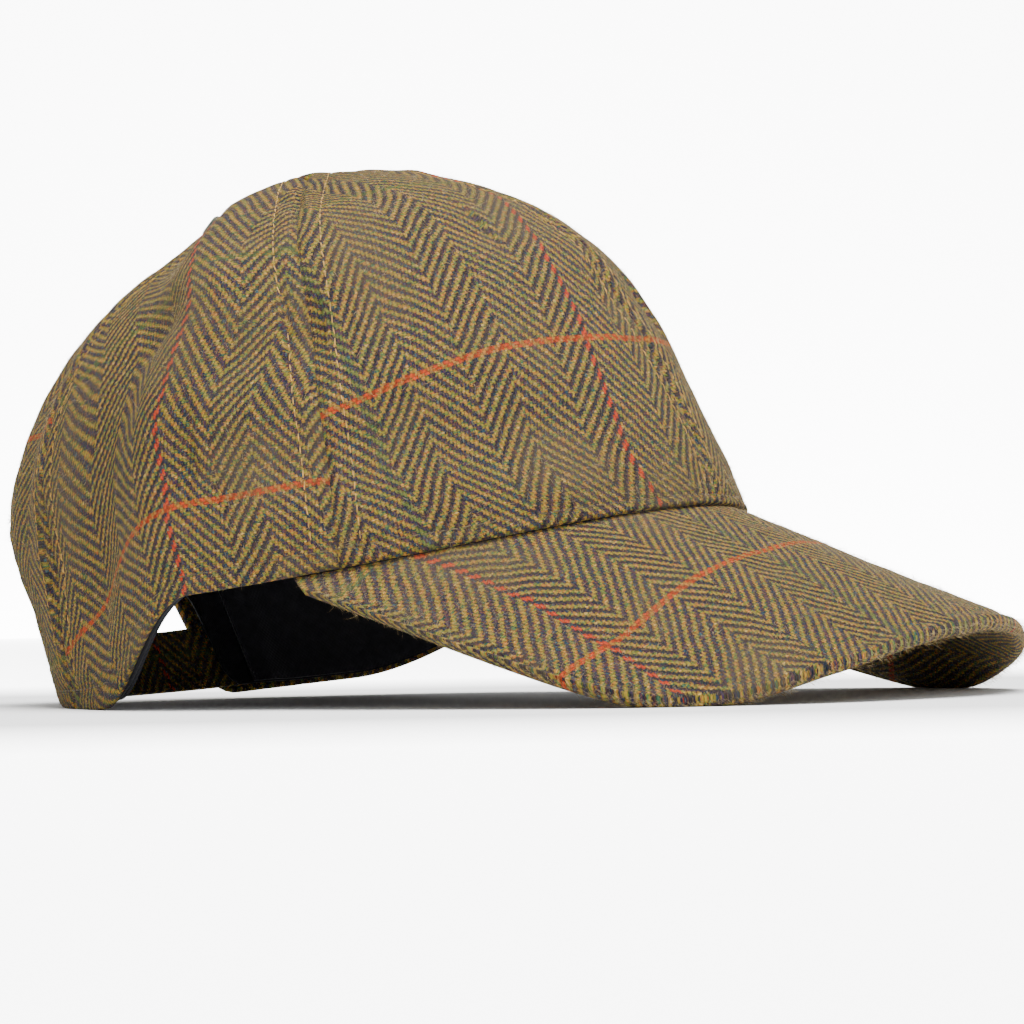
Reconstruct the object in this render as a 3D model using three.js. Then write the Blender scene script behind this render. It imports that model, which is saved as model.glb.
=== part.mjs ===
// A tweed baseball cap: six soft panels, a curved covered peak, a black lining and band, and a
// cloth strap across the arch at the back. Millimetres, +Z up, +X is the wearer's left and the
// peak points along -Y. The cap rests on its back rim and on the two drooping sides of its peak.
import * as THREE from "three";

const degree = Math.PI / 180;

// Crown
const crownHeight = 121; // the rim plane to the top
const halfWidth = 90; // the centre to the side of the rim
const frontReach = 103; // the centre to the front of the rim
const backReach = 102; // the centre to the fullest part of the back
const topShift = 2.4; // how far the top lies behind the centre
const frontRise = 15.3; // the rim above the rim plane, at the middle of the peak
const sideRise = 7.1; // the same, over the ear
const backDrop = 12.8; // the rim below the rim plane, at the back
const backTaper = 0.055; // how much slimmer than an ellipse the back is at its corners
const dimpleDepth = 3.6; // the button pulls the top in
const dimpleRadius = 11;
const foldDepth = 4; // the deepest fold
const foldWidth = 11; // a fold's half width

// Cloth
const tweed = 1.6;
const seamDip = 0.6; // how far a seam is pulled into the tweed
const seamDipWidth = 3.5;
const liningCloth = 1;
const bandCloth = 1.4;
const bandHeight = 32;
const gap = 0.3; // between neighbouring pieces
const liningGap = 0.6; // between the panels and the lining
const rimTurn = 1.3; // the turned-up tweed that shows below the lining
const archTurn = 3.4; // the same, beside the arch
const pressed = 0.8; // how much the cloth flattens where it rests

// Arch and strap
const archHalfWidth = 42.5;
const archHeight = 52;
const archSquareness = 3.3; // 2 is an ellipse
const archCorner = 8; // the rounding where the arch meets the rim
const archCornerShare = 0.1; // the share of the arch's edge that this rounding takes
const strapWidth = 17.5;
const strapCloth = 1.8;
const strapRise = 1.6; // the strap above the rim
const strapHold = 11; // how far each end runs in under the panel
const tabLength = 58;
const tabWidth = 15;
const tabEnd = 37; // from the middle of the back, to the wearer's left
const easeStart = 5; // past the strap, where the lining begins to come back to the panels
const easeEnd = 15;

// Peak
const peakLength = 68; // past the front of the rim, seen from above
const peakSpread = 5.5; // past the side of the rim
const peakDroop = 54.6; // the front of the rim to the lowest edge
const peakThickness = 4.4;
const peakEndDrop = 2.6; // its lower edge below the rim, at its ends
const peakHalfAngle = 78; // where the peak ends on the rim, from the front
const peakEdgeRound = 2; // how far in the edge's rounding starts
const peakSteps = 46; // sections from one end to the other
const peakLast = 0.985; // the last section; the rest is a stub inside the seam

// Button and eyelets
const buttonRadius = 6.5;
const buttonHeight = 2.7;
const buttonEdge = 0.6; // its rounded lower edge
const shankRadius = 2.2;
const topHole = 3.4; // the radius left open at the top, round the button's shank
const eyeletRadius = 2.9;
const eyeletThread = 0.8; // radius of the bound ring
const eyeletAngle = 116;
const eyeletDistance = 38; // from the top, along the cloth

const tweedColour = 0x7d6b4c;
const peakColour = 0x7a6848;
const strapColour = 0x6f5f45;
const liningColour = 0x15161a;
const bandColour = 0x1b1c21;
const eyeletColour = 0x3c463c;

// Sections of the crown from its top to its rim. Reaches are shares of frontReach, halfWidth and
// backReach, and heights are shares of crownHeight.
const sections = [
  { front: 0.0, side: 0.0, back: 0.0, frontHeight: 1.0, sideHeight: 1.0, backHeight: 1.0 },
  { front: 0.25, side: 0.254, back: 0.25, frontHeight: 0.96, sideHeight: 0.953, backHeight: 0.906 },
  { front: 0.474, side: 0.483, back: 0.51, frontHeight: 0.88, sideHeight: 0.864, backHeight: 0.8 },
  { front: 0.66, side: 0.666, back: 0.752, frontHeight: 0.762, sideHeight: 0.758, backHeight: 0.686 },
  { front: 0.804, side: 0.792, back: 0.93, frontHeight: 0.584, sideHeight: 0.611, backHeight: 0.516 },
  { front: 0.904, side: 0.888, back: 1.0, frontHeight: 0.342, sideHeight: 0.421, backHeight: 0.346 },
  { front: 0.972, side: 0.954, back: 0.94, frontHeight: 0.134, sideHeight: 0.208, backHeight: 0.162 },
  { front: 1.0, side: 1.0, back: 0.875, frontHeight: 0.0, sideHeight: 0.0, backHeight: 0.0 },
];

// Where the rim comes down behind the ear, in degrees from the front, and how far below the rim
// plane it then lies. From there it goes over to backDrop between the two angles of backEase.
const earBends = {
  right: { start: 94, end: 119, drop: 17.3 },
  left: { start: 74, end: 124, drop: 12.2 },
};
const backEase = { start: 120, end: 170 };

// Folds and hollows: each runs from one place on the crown to another. Angles are degrees from the
// front, positive to the wearer's right; drops are shares of the way from the top to the rim;
// width and depth are shares of foldWidth and foldDepth, and a positive depth stands out.
const folds = [
  { name: "hollow over the right ear", angle: 38, drop: 0.79, toAngle: 90, toDrop: 0.8, width: 1.3, depth: -0.6 },
  { name: "dent beside the right seam", angle: 60, drop: 0.6, toAngle: 80, toDrop: 0.64, width: 1.2, depth: -0.6 },
  { name: "upper right ridge", angle: 101, drop: 0.22, toAngle: 90, toDrop: 0.5, width: 0.8, depth: 0.45 },
  { name: "lower right ridge", angle: 90, drop: 0.5, toAngle: 101, toDrop: 0.8, width: 0.8, depth: 0.45 },
  { name: "upper right valley", angle: 116, drop: 0.28, toAngle: 104, toDrop: 0.52, width: 1.0, depth: -0.8 },
  { name: "lower right valley", angle: 104, drop: 0.52, toAngle: 119, toDrop: 0.86, width: 1.0, depth: -0.9 },
  { name: "right back crease", angle: 146, drop: 0.5, toAngle: 142, toDrop: 0.74, width: 0.6, depth: -0.5 },
  { name: "hollow over the left ear", angle: -44, drop: 0.78, toAngle: -88, toDrop: 0.8, width: 1.3, depth: -0.5 },
  { name: "upper left valley", angle: -104, drop: 0.4, toAngle: -112, toDrop: 0.8, width: 1.2, depth: -0.7 },
  { name: "left back crease", angle: -152, drop: 0.34, toAngle: -138, toDrop: 0.5, width: 1.1, depth: -0.4 },
  { name: "slack over the arch", angle: 166, drop: 0.58, toAngle: -170, toDrop: 0.6, width: 0.8, depth: -0.4 },
];

// Seams of one side, in degrees from the front at the top and at the rim
const seams = [
  { name: "front middle", top: 0, rim: 0 },
  { name: "front to side", top: 73, rim: 70 },
  { name: "side to back", top: 130, rim: 134.5 },
  { name: "back middle", top: 180, rim: 180 },
];

// The peak's lower edge from its middle to its end on the rim. Across is a share of the half
// width, forward a share of peakLength past the front of the rim, down a share of peakDroop.
const peakEdge = [
  { across: 0.0, forward: 1.0, down: 0.784 },
  { across: 0.35, forward: 0.919, down: 0.821 },
  { across: 0.664, forward: 0.728, down: 0.918 },
  { across: 0.884, forward: 0.39, down: 1.0 },
  { across: 1.0, forward: -0.022, down: 0.868 },
];

const clamp = THREE.MathUtils.clamp;

// A curve through a column of evenly spaced values; before and after stand in for its missing ends
function through(values, position, before, after) {
  const last = values.length - 1;
  const at = clamp(position, 0, 1) * last;
  const i = Math.min(Math.floor(at), last - 1);
  const f = at - i;
  const b = values[i];
  const c = values[i + 1];
  const a = i > 0 ? values[i - 1] : before ?? 2 * b - c;
  const d = i + 2 <= last ? values[i + 2] : after ?? 2 * c - b;
  return b + 0.5 * f * (c - a + f * (2 * a - 5 * b + 4 * c - d + f * (3 * (b - c) + d - a)));
}

const columns = {};
for (const key of Object.keys(sections[0])) columns[key] = sections.map((row) => row[key]);

function rimHeight(angle) {
  const around = Math.abs(angle) / degree;
  const bend = angle > 0 ? earBends.right : earBends.left;
  const down = THREE.MathUtils.smoothstep(around, bend.start, bend.end);
  const low = bend.drop + (backDrop - bend.drop) * THREE.MathUtils.smoothstep(around, backEase.start, backEase.end);
  const front = Math.max(Math.cos(angle), 0);
  return sideRise + (frontRise - sideRise) * front * front - (low + sideRise) * down;
}

// Distance in the laid-out cloth between a place on the crown and a fold's line
const clothLength = Math.hypot(crownHeight, halfWidth) * 1.12;

function foldShift(angle, drop) {
  let shift = 0;
  const radius = halfWidth * through(columns.side, drop);
  for (const fold of folds) {
    const away = (value) => THREE.MathUtils.euclideanModulo(value * degree - angle + Math.PI, 2 * Math.PI) - Math.PI;
    const start = new THREE.Vector2(away(fold.angle) * radius, (fold.drop - drop) * clothLength);
    const end = new THREE.Vector2(away(fold.toAngle) * radius, (fold.toDrop - drop) * clothLength);
    const along = end.clone().sub(start);
    const near = clamp(-start.dot(along) / along.lengthSq(), 0, 1);
    const distance = start.addScaledVector(along, near).length();
    shift += fold.depth * foldDepth * Math.exp(-((distance / (fold.width * foldWidth)) ** 2));
  }
  return shift;
}

function plainPoint(angle, drop) {
  const s = Math.sin(angle);
  const c = Math.cos(angle);
  const ahead = c > 0;
  const reach = ahead ? frontReach * through(columns.front, drop) : backReach * through(columns.back, drop);
  const endHeight = through(ahead ? columns.frontHeight : columns.backHeight, drop);
  const sideHeight = through(columns.sideHeight, drop);
  const slim = ahead ? 1 : 1 - backTaper * (2 * s * c) ** 2;
  const x = -halfWidth * through(columns.side, drop) * s * slim;
  const y = -reach * c * slim;
  const height = crownHeight * (sideHeight + (endHeight - sideHeight) * c * c) + rimHeight(angle) * drop * drop;
  const dimple = dimpleDepth * Math.exp(-(x * x + y * y) / dimpleRadius ** 2);
  return new THREE.Vector3(x, y + topShift * (1 - drop), height - dimple);
}

const step = 0.004;

// The way out of the cloth
function plainNormal(angle, drop) {
  const low = Math.max(drop - step, step);
  const round = plainPoint(angle + step, Math.max(drop, step)).sub(plainPoint(angle - step, Math.max(drop, step)));
  const down = plainPoint(angle, Math.min(drop + step, 1)).sub(plainPoint(angle, low));
  return round.cross(down).normalize();
}

// A place in the cloth: depth 0 is the outer face, and depths go inward
function crownPoint(angle, drop, depth = 0) {
  const point = plainPoint(angle, drop);
  return point.addScaledVector(plainNormal(angle, drop), foldShift(angle, drop) - depth);
}

// Arch and strap in the crown's own measure
const backRadius = backReach * columns.back.at(-1);
const cornerBend = 180 - (archHalfWidth + archCorner) / backRadius / degree;
const strapBottom = 1 - strapRise / clothLength;
const strapTop = strapBottom - strapWidth / clothLength;
const strapDepth = tweed + 2 * gap;

// Peak: straight lines run from the rim to the edge
const peakEnd = plainPoint(peakHalfAngle * degree, 1);
const peakHalfWidth = halfWidth + peakSpread;
const edgeAcross = [...peakEdge.map((row) => row.across * peakHalfWidth), -peakEnd.x];
const edgeY = [...peakEdge.map((row) => -frontReach - row.forward * peakLength), peakEnd.y];
const edgeZ = [...peakEdge.map((row) => frontRise - row.down * peakDroop), peakEnd.z - peakEndDrop];

// place runs from -1 at the wearer's left end to 1 at the right end
function edgePoint(place) {
  const way = Math.abs(place);
  const side = place < 0 ? 1 : -1;
  return new THREE.Vector3(
    side * through(edgeAcross, way, -edgeAcross[1]),
    through(edgeY, way, edgeY[1]),
    through(edgeZ, way, edgeZ[1])
  );
}

function seatPoint(place) {
  const angle = place * peakHalfAngle * degree;
  const seat = crownPoint(angle, 1, tweed);
  return seat.setZ(Math.min(seat.z, plainPoint(angle, 1).z) - 1.5 * gap);
}

// One section of the peak as a ring of points, from the seat over the top, round the edge and back
function peakSection(place) {
  const seat = seatPoint(place);
  const edge = edgePoint(place);
  const sideways = edgePoint(place + step).sub(edgePoint(place - step));
  const up = edge.clone().sub(seat).cross(sideways).normalize();
  if (up.z < 0) up.negate();
  const full = clamp(edge.distanceTo(seat) / (5 * peakThickness), 0, 1);
  const thick = peakThickness * (0.3 + 0.7 * Math.sqrt(full));
  const run = edge.clone().addScaledVector(up, thick).sub(seat);
  const length = run.length();
  run.divideScalar(length);
  const round = Math.min(peakEdgeRound, 0.2 * length);
  const low = (along, lift) => seat.clone().addScaledVector(run, along).addScaledVector(up, lift - thick);
  const spans = [0, 0.14, 0.32, 0.52, 0.74];
  const flat = length - round;
  return [
    ...spans.map((share) => low(share * flat, thick)),
    low(flat, thick),
    low(length - 0.25 * round, 0.84 * thick),
    low(length, 0.5 * thick),
    low(length - 0.25 * round, 0.16 * thick),
    low(flat, 0),
    ...spans.map((share) => low(share * flat, 0)).reverse(),
  ];
}

// Rest: the tilt that brings the back rim and the peak's sides down to the floor together
const backFeet = [];
for (let angle = earBends.right.end; angle <= cornerBend; angle += 2) backFeet.push(plainPoint(angle * degree, 1));
for (let angle = cornerBend; angle <= 180; angle += 4) backFeet.push(crownPoint(angle * degree, strapBottom, strapDepth));
const peakFeet = [];
for (let place = 0.3; place <= 0.95; place += 0.025) {
  for (const point of peakSection(place)) peakFeet.push(point);
}
const heightAt = (point, tilt) => point.z * Math.cos(tilt) - point.y * Math.sin(tilt);
const lowest = (feet, tilt) => Math.min(...feet.map((point) => heightAt(point, tilt)));
let lowTilt = -20 * degree;
let highTilt = 30 * degree;
for (let turn = 0; turn < 40; turn += 1) {
  const middle = (lowTilt + highTilt) / 2;
  if (lowest(peakFeet, middle) < lowest(backFeet, middle)) lowTilt = middle;
  else highTilt = middle;
}
const restTilt = (lowTilt + highTilt) / 2;
const restLift = -lowest(backFeet, restTilt) - pressed;

// From the cap's own frame to the floor's; cloth that would go below the floor flattens on it
function restPoint(point) {
  const back = point.y * Math.cos(restTilt) + point.z * Math.sin(restTilt);
  return new THREE.Vector3(point.x, back, Math.max(heightAt(point, restTilt) + restLift, 0));
}

// A geometry whose faces point out, whichever way its rows were listed
function solid(positions, indices) {
  let volume = 0;
  const corner = (k) => new THREE.Vector3().fromArray(positions, 3 * indices[k]);
  for (let k = 0; k < indices.length; k += 3) volume += corner(k).dot(corner(k + 1).cross(corner(k + 2)));
  if (volume < 0) indices.reverse();
  const geometry = new THREE.BufferGeometry();
  geometry.setAttribute("position", new THREE.Float32BufferAttribute(positions, 3));
  geometry.setIndex(indices);
  geometry.computeVertexNormals();
  return geometry;
}

// Adds one four-sided face, or what is left of it where two of its corners are one
function addFace(indices, a, b, c, d) {
  for (const face of [[a, b, c], [a, c, d]]) {
    if (new Set(face).size === 3) indices.push(...face);
  }
}

// A closed body between two faces given as grids of points of one shape. Where the grid closes on
// itself round the crown, round is true; where its first row is one point, pole is true.
function body(outer, inner, { round = false, pole = false } = {}) {
  const rows = outer.length;
  const wide = outer[0].length;
  const positions = [];
  const indices = [];
  const [out, inn] = [outer, inner].map((face) =>
    face.map((row, i) => {
      const first = positions.length / 3;
      const single = pole && i === 0;
      for (const point of single ? row.slice(0, 1) : row) positions.push(...restPoint(point).toArray());
      return row.map((_, j) => (single ? first : first + j));
    })
  );
  const next = (j) => (j + 1) % wide;
  const lastColumn = round ? wide : wide - 1;
  for (let j = 0; j < lastColumn; j += 1) {
    for (let i = 0; i + 1 < rows; i += 1) {
      addFace(indices, out[i][j], out[i + 1][j], out[i + 1][next(j)], out[i][next(j)]);
      addFace(indices, inn[i + 1][next(j)], inn[i + 1][j], inn[i][j], inn[i][next(j)]);
    }
    addFace(indices, out[rows - 1][j], inn[rows - 1][j], inn[rows - 1][next(j)], out[rows - 1][next(j)]);
    if (!pole) addFace(indices, out[0][j], out[0][next(j)], inn[0][next(j)], inn[0][j]);
  }
  for (let i = 0; i + 1 < rows && !round; i += 1) {
    const end = wide - 1;
    addFace(indices, out[i][0], inn[i][0], inn[i + 1][0], out[i + 1][0]);
    addFace(indices, out[i][end], out[i + 1][end], inn[i + 1][end], inn[i][end]);
  }
  return solid(positions, indices);
}

const cap = new THREE.Group();
cap.name = "tweed_baseball_cap";

function add(name, geometry, colour, roughness = 0.95) {
  const material = new THREE.MeshStandardMaterial({ color: colour, roughness, metalness: 0 });
  const mesh = new THREE.Mesh(geometry, material);
  mesh.name = name;
  cap.add(mesh);
  return mesh;
}

// The arch's edge, from its corner on the rim (0) to its top (1); grow makes it wider and higher
function archEdge(share, grow) {
  const bend = 2 / archSquareness;
  const high = archHeight + grow;
  const cornerTurn = Math.asin((archCorner / high) ** (1 / bend));
  const past = Math.max(share - archCornerShare, 0) / (1 - archCornerShare);
  const turn = cornerTurn + past * (Math.PI / 2 - cornerTurn);
  const round = (Math.min(share / archCornerShare, 1) * Math.PI) / 2;
  const across = (archHalfWidth + grow) * Math.cos(turn) ** bend + archCorner * (1 - Math.sin(round));
  const up = past > 0 ? high * Math.sin(turn) ** bend : archCorner * (1 - Math.cos(round));
  return { angle: Math.PI - across / backRadius, drop: 1 - up / clothLength };
}

// Panels
const panels = [
  { name: "front", near: seams[0], far: seams[1] },
  { name: "side", near: seams[1], far: seams[2] },
  { name: "back", near: seams[2], far: seams[3], arched: true },
];
const sides = { right: 1, left: -1 };
const topDrop = topHole / (halfWidth * columns.side[1] * (sections.length - 1));

// Columns and rows of a panel's cloth, as shares from seam to seam and from the top down. The back
// panels have a column at the arch's corner.
const plainColumns = [0, 0.035, 0.12, 0.24, 0.37, 0.5, 0.63, 0.76, 0.88, 0.965, 1];
const cornerColumn = 0.2;
const rimPart = [0, 0.17, 0.55];
const archPart = [0, 0.05, 0.1, 0.24, 0.36, 0.47, 0.57, 0.68, 0.82, 1];
const archedColumns = [
  ...rimPart.map((share) => share * cornerColumn),
  ...archPart.map((share) => cornerColumn + share * (1 - cornerColumn)),
];
const rows = [0, 0.05, 0.12, 0.2, 0.28, 0.36, 0.44, 0.52, 0.6, 0.68, 0.745, 0.81, 0.87, 0.925, 0.966, 1];

const seamAngle = (seam, drop) => (seam.top + (seam.rim - seam.top) * drop) * degree;

// The lower end of a column, drawn back from the rim and the arch by the two turns
function footOf(panel, share, rimBack, archBack) {
  const rimDrop = 1 - rimBack / clothLength;
  if (!panel.arched) return { share, drop: rimDrop };
  const start = panel.near.rim * degree;
  const shareOf = (angle) => (angle - start) / (Math.PI - start);
  const corner = shareOf(archEdge(0, archBack).angle);
  if (share <= cornerColumn) return { share: (share / cornerColumn) * corner, drop: rimDrop };
  const edge = archEdge((share - cornerColumn) / (1 - cornerColumn), archBack);
  return { share: shareOf(edge.angle), drop: Math.min(edge.drop, rimDrop) };
}

// Where a column crosses a row: an angle and a drop. Near the foot the column bends to its end.
function clothPlace(panel, share, row, rimBack = 0, archBack = 0) {
  const foot = footOf(panel, share, 0, 0);
  const drawn = footOf(panel, share, rimBack, archBack);
  const late = row ** 8;
  const drop = topDrop + (foot.drop - topDrop) * row + (drawn.drop - foot.drop) * late;
  const across = share + (foot.share - share) * row * row + (drawn.share - foot.share) * late;
  const from = seamAngle(panel.near, drop);
  const to = seamAngle(panel.far, drop);
  return { angle: from + (to - from) * across, drop, from, to };
}

function panelGrid(panel, side, depth, dip) {
  const columnList = panel.arched ? archedColumns : plainColumns;
  return rows.map((row) => {
    const line = columnList.map((share) => {
      const { angle, drop, from, to } = clothPlace(panel, share, row);
      const place = plainPoint(angle, drop);
      const radius = Math.hypot(place.x, place.y);
      const inset = gap / 2 / radius;
      const fromSeam = Math.min(angle - from, to - angle) * radius;
      const dipHere = dip * Math.exp(-((fromSeam / seamDipWidth) ** 2));
      return crownPoint(side * clamp(angle, from + inset, to - inset), drop, depth + dipHere);
    });
    return side > 0 ? line : line.reverse();
  });
}

for (const panel of panels) {
  for (const [word, side] of Object.entries(sides)) {
    const faces = [panelGrid(panel, side, 0, seamDip), panelGrid(panel, side, tweed, 0)];
    add(`panel_${panel.name}_${word}`, body(...faces), tweedColour);
  }
}

// Lining: one black dome with the arch cut out, on the panels' own columns and rows. It stands off
// the panels where the strap's ends lie between the two.
const strapReach = archHalfWidth + strapHold;
const strapRoom = strapDepth + strapCloth + gap - tweed;

function liningDepth(angle, drop) {
  const fromEnd = (Math.PI - Math.abs(angle)) * backRadius - strapReach;
  const overStrap = (strapTop - drop) * clothLength;
  const beside = 1 - THREE.MathUtils.smoothstep(fromEnd, easeStart, easeEnd);
  const below = 1 - THREE.MathUtils.smoothstep(overStrap, easeStart, easeEnd);
  return tweed + liningGap + strapRoom * beside * below;
}

const halfRound = panels.flatMap((panel) => {
  const list = panel.arched ? archedColumns : plainColumns;
  return list.slice(panel.near.rim === 0 ? 0 : 1).map((share) => ({ panel, share }));
});
const allRound = [
  ...halfRound.map((column) => ({ ...column, side: 1 })),
  ...halfRound.slice(1, -1).reverse().map((column) => ({ ...column, side: -1 })),
];

function liningPoint({ panel, share, side }, row, extra) {
  const { angle, drop } = clothPlace(panel, share, row, rimTurn, archTurn);
  return crownPoint(side * angle, drop, liningDepth(angle, drop) + extra);
}

function liningGrid(extra) {
  const top = plainPoint(0, 0);
  top.z -= liningDepth(0, 0) + extra;
  return [allRound.map(() => top), ...rows.map((row) => allRound.map((column) => liningPoint(column, row, extra)))];
}

add("lining", body(liningGrid(0), liningGrid(liningCloth), { round: true, pole: true }), liningColour, 0.8);

// Band: inside the lining, from one side of the arch round the front to the other
const rimColumns = allRound.filter(({ panel, share }) => !panel.arched || share < cornerColumn);
const firstLeft = rimColumns.findIndex((column) => column.side < 0);
const bandColumns = [...rimColumns.slice(firstLeft), ...rimColumns.slice(0, firstLeft)];
const bandRows = rows.filter((row) => (1 - row) * clothLength < bandHeight);

function bandGrid(extra) {
  return bandRows.map((row) =>
    bandColumns.map((column) => liningPoint(column, row, liningCloth + gap + extra))
  );
}

add("sweatband", body(bandGrid(0), bandGrid(bandCloth)), bandColour, 0.85);

// Strap: follows the rim across the arch, its ends held between the panels and the lining
function strapPiece(name, { from, to, top, bottom, depth, cloth, steps }) {
  const grid = (extra) =>
    [0, 0.5, 1].map((row) =>
      Array.from({ length: steps + 1 }, (_, k) => {
        const angle = Math.PI + (from + ((to - from) * k) / steps) / backRadius;
        const around = angle > Math.PI ? angle - 2 * Math.PI : angle;
        return crownPoint(around, top + (bottom - top) * row, depth + extra);
      })
    );
  add(name, body(grid(0), grid(cloth)), strapColour);
}

strapPiece("strap", {
  from: -strapReach,
  to: strapReach,
  top: strapTop,
  bottom: strapBottom,
  depth: strapDepth,
  cloth: strapCloth,
  steps: 26,
});

// Tab: the strap's plain outer end, lying on it inside the arch
const tabInset = (strapWidth - tabWidth) / 2 / clothLength;
strapPiece("strap_tab", {
  from: tabEnd - tabLength,
  to: tabEnd,
  top: strapTop + tabInset,
  bottom: strapBottom - tabInset,
  depth: 0,
  cloth: tweed,
  steps: 12,
});

// Peak
function ringsBody(list) {
  const around = list[0].length;
  const positions = list.flatMap((ring) => ring.flatMap((point) => restPoint(point).toArray()));
  const indices = [];
  const last = (list.length - 1) * around;
  for (let j = 0; j < around; j += 1) {
    const k = (j + 1) % around;
    for (let first = 0; first < last; first += around) {
      addFace(indices, first + j, first + k, first + around + k, first + around + j);
    }
  }
  // the ends close in strips between the top and the underside
  for (let j = 0; 2 * j + 1 < around; j += 1) {
    const k = around - 1 - j;
    addFace(indices, j, k, k - 1, j + 1);
    addFace(indices, last + j + 1, last + k - 1, last + k, last + j);
  }
  return solid(positions, indices);
}

const peakPlaces = Array.from({ length: peakSteps + 1 }, (_, k) => peakLast * Math.sin((k / peakSteps - 0.5) * Math.PI));
add("peak", ringsBody(peakPlaces.map(peakSection)), peakColour);

// Button: a flat covered dome whose shank goes through the top
const top = plainPoint(0, 0);
const buttonDrop = (topDrop * buttonRadius) / topHole;
const crownUnder = [0, 45, 90, 135, 180].map((angle) => plainPoint(angle * degree, buttonDrop).z);
const buttonSeat = Math.max(...crownUnder) + gap;
const shankEnd = top.z - tweed;
const profile = [
  new THREE.Vector2(0, shankEnd),
  new THREE.Vector2(shankRadius, shankEnd),
  new THREE.Vector2(shankRadius, buttonSeat),
  new THREE.Vector2(buttonRadius - buttonEdge, buttonSeat),
];
for (let k = 0; k < 5; k += 1) {
  const turn = (k / 5) * (Math.PI / 2);
  const height = buttonSeat + buttonEdge + (buttonHeight - buttonEdge) * Math.sin(turn);
  profile.push(new THREE.Vector2(buttonRadius * Math.cos(turn), height));
}
profile.push(new THREE.Vector2(0, buttonSeat + buttonHeight));
const button = add("button", new THREE.LatheGeometry(profile, 22).rotateX(Math.PI / 2), tweedColour);
button.rotation.x = -restTilt;
button.position.copy(restPoint(new THREE.Vector3(0, top.y, 0)));

// Eyelets: bound rings on the two side panels, lying on the cloth as it is there
for (const [word, side] of Object.entries(sides)) {
  const angle = side * eyeletAngle * degree;
  const drop = eyeletDistance / clothLength;
  const reach = eyeletRadius / clothLength;
  const turn = (side * eyeletRadius) / (halfWidth * through(columns.side, drop));
  const round = crownPoint(angle + turn, drop).sub(crownPoint(angle - turn, drop));
  const down = crownPoint(angle, drop + reach).sub(crownPoint(angle, drop - reach));
  const out = round.cross(down).multiplyScalar(side).normalize();
  const centre = crownPoint(angle, drop).addScaledVector(out, eyeletThread + 2 * gap);
  const eyelet = add(`eyelet_${word}`, new THREE.TorusGeometry(eyeletRadius, eyeletThread, 6, 14), eyeletColour);
  const rest = new THREE.Quaternion().setFromAxisAngle(new THREE.Vector3(1, 0, 0), -restTilt);
  eyelet.quaternion.setFromUnitVectors(new THREE.Vector3(0, 0, 1), out).premultiply(rest);
  eyelet.position.copy(restPoint(centre));
}

// The origin is under the middle of the whole cap
const whole = new THREE.Box3().setFromObject(cap, true);
for (const piece of cap.children) piece.position.y -= (whole.min.y + whole.max.y) / 2;

export default cap;
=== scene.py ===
import bpy
import numpy as np
from mathutils import Matrix, Vector


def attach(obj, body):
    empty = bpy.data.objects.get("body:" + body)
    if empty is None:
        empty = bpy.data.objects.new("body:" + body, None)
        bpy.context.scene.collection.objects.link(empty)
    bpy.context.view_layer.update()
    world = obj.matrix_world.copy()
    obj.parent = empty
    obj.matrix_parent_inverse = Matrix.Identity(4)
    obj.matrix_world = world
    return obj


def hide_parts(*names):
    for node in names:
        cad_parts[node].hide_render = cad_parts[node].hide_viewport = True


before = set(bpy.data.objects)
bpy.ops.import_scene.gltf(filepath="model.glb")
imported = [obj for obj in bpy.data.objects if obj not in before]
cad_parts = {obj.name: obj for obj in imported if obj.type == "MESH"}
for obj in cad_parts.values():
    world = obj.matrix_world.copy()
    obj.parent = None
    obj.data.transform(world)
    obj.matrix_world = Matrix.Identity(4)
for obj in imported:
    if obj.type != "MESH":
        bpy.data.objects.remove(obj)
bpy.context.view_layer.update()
rng = np.random.default_rng(7)

# Lengths are millimetres in the cap's own frame until the last step. In that frame the rim is at
# about z = 0, the peak points along -Y and the wearer's right is -X.

# The crown's sections, folds and seams, as in the CAD model, in millimetres and degrees
CROWN_HEIGHT, HALF_WIDTH, FRONT_REACH, BACK_REACH = 121.0, 90.0, 103.0, 102.0
TOP_SHIFT = 2.4
FRONT_RISE, SIDE_RISE, BACK_DROP = 15.3, 7.1, 12.8
BACK_TAPER = 0.055
DIMPLE_DEPTH, DIMPLE_RADIUS = 3.6, 11.0
FOLD_DEPTH, FOLD_WIDTH = 4.0, 11.0
CLOTH_LENGTH = 1.12 * np.hypot(CROWN_HEIGHT, HALF_WIDTH)
SECTIONS = np.array([
    # reach: front, side, back; height: front, side, back
    (0.0, 0.0, 0.0, 1.0, 1.0, 1.0),
    (0.25, 0.254, 0.25, 0.96, 0.953, 0.906),
    (0.474, 0.483, 0.51, 0.88, 0.864, 0.8),
    (0.66, 0.666, 0.752, 0.762, 0.758, 0.686),
    (0.804, 0.792, 0.93, 0.584, 0.611, 0.516),
    (0.904, 0.888, 1.0, 0.342, 0.421, 0.346),
    (0.972, 0.954, 0.94, 0.134, 0.208, 0.162),
    (1.0, 1.0, 0.875, 0.0, 0.0, 0.0),
])
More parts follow.
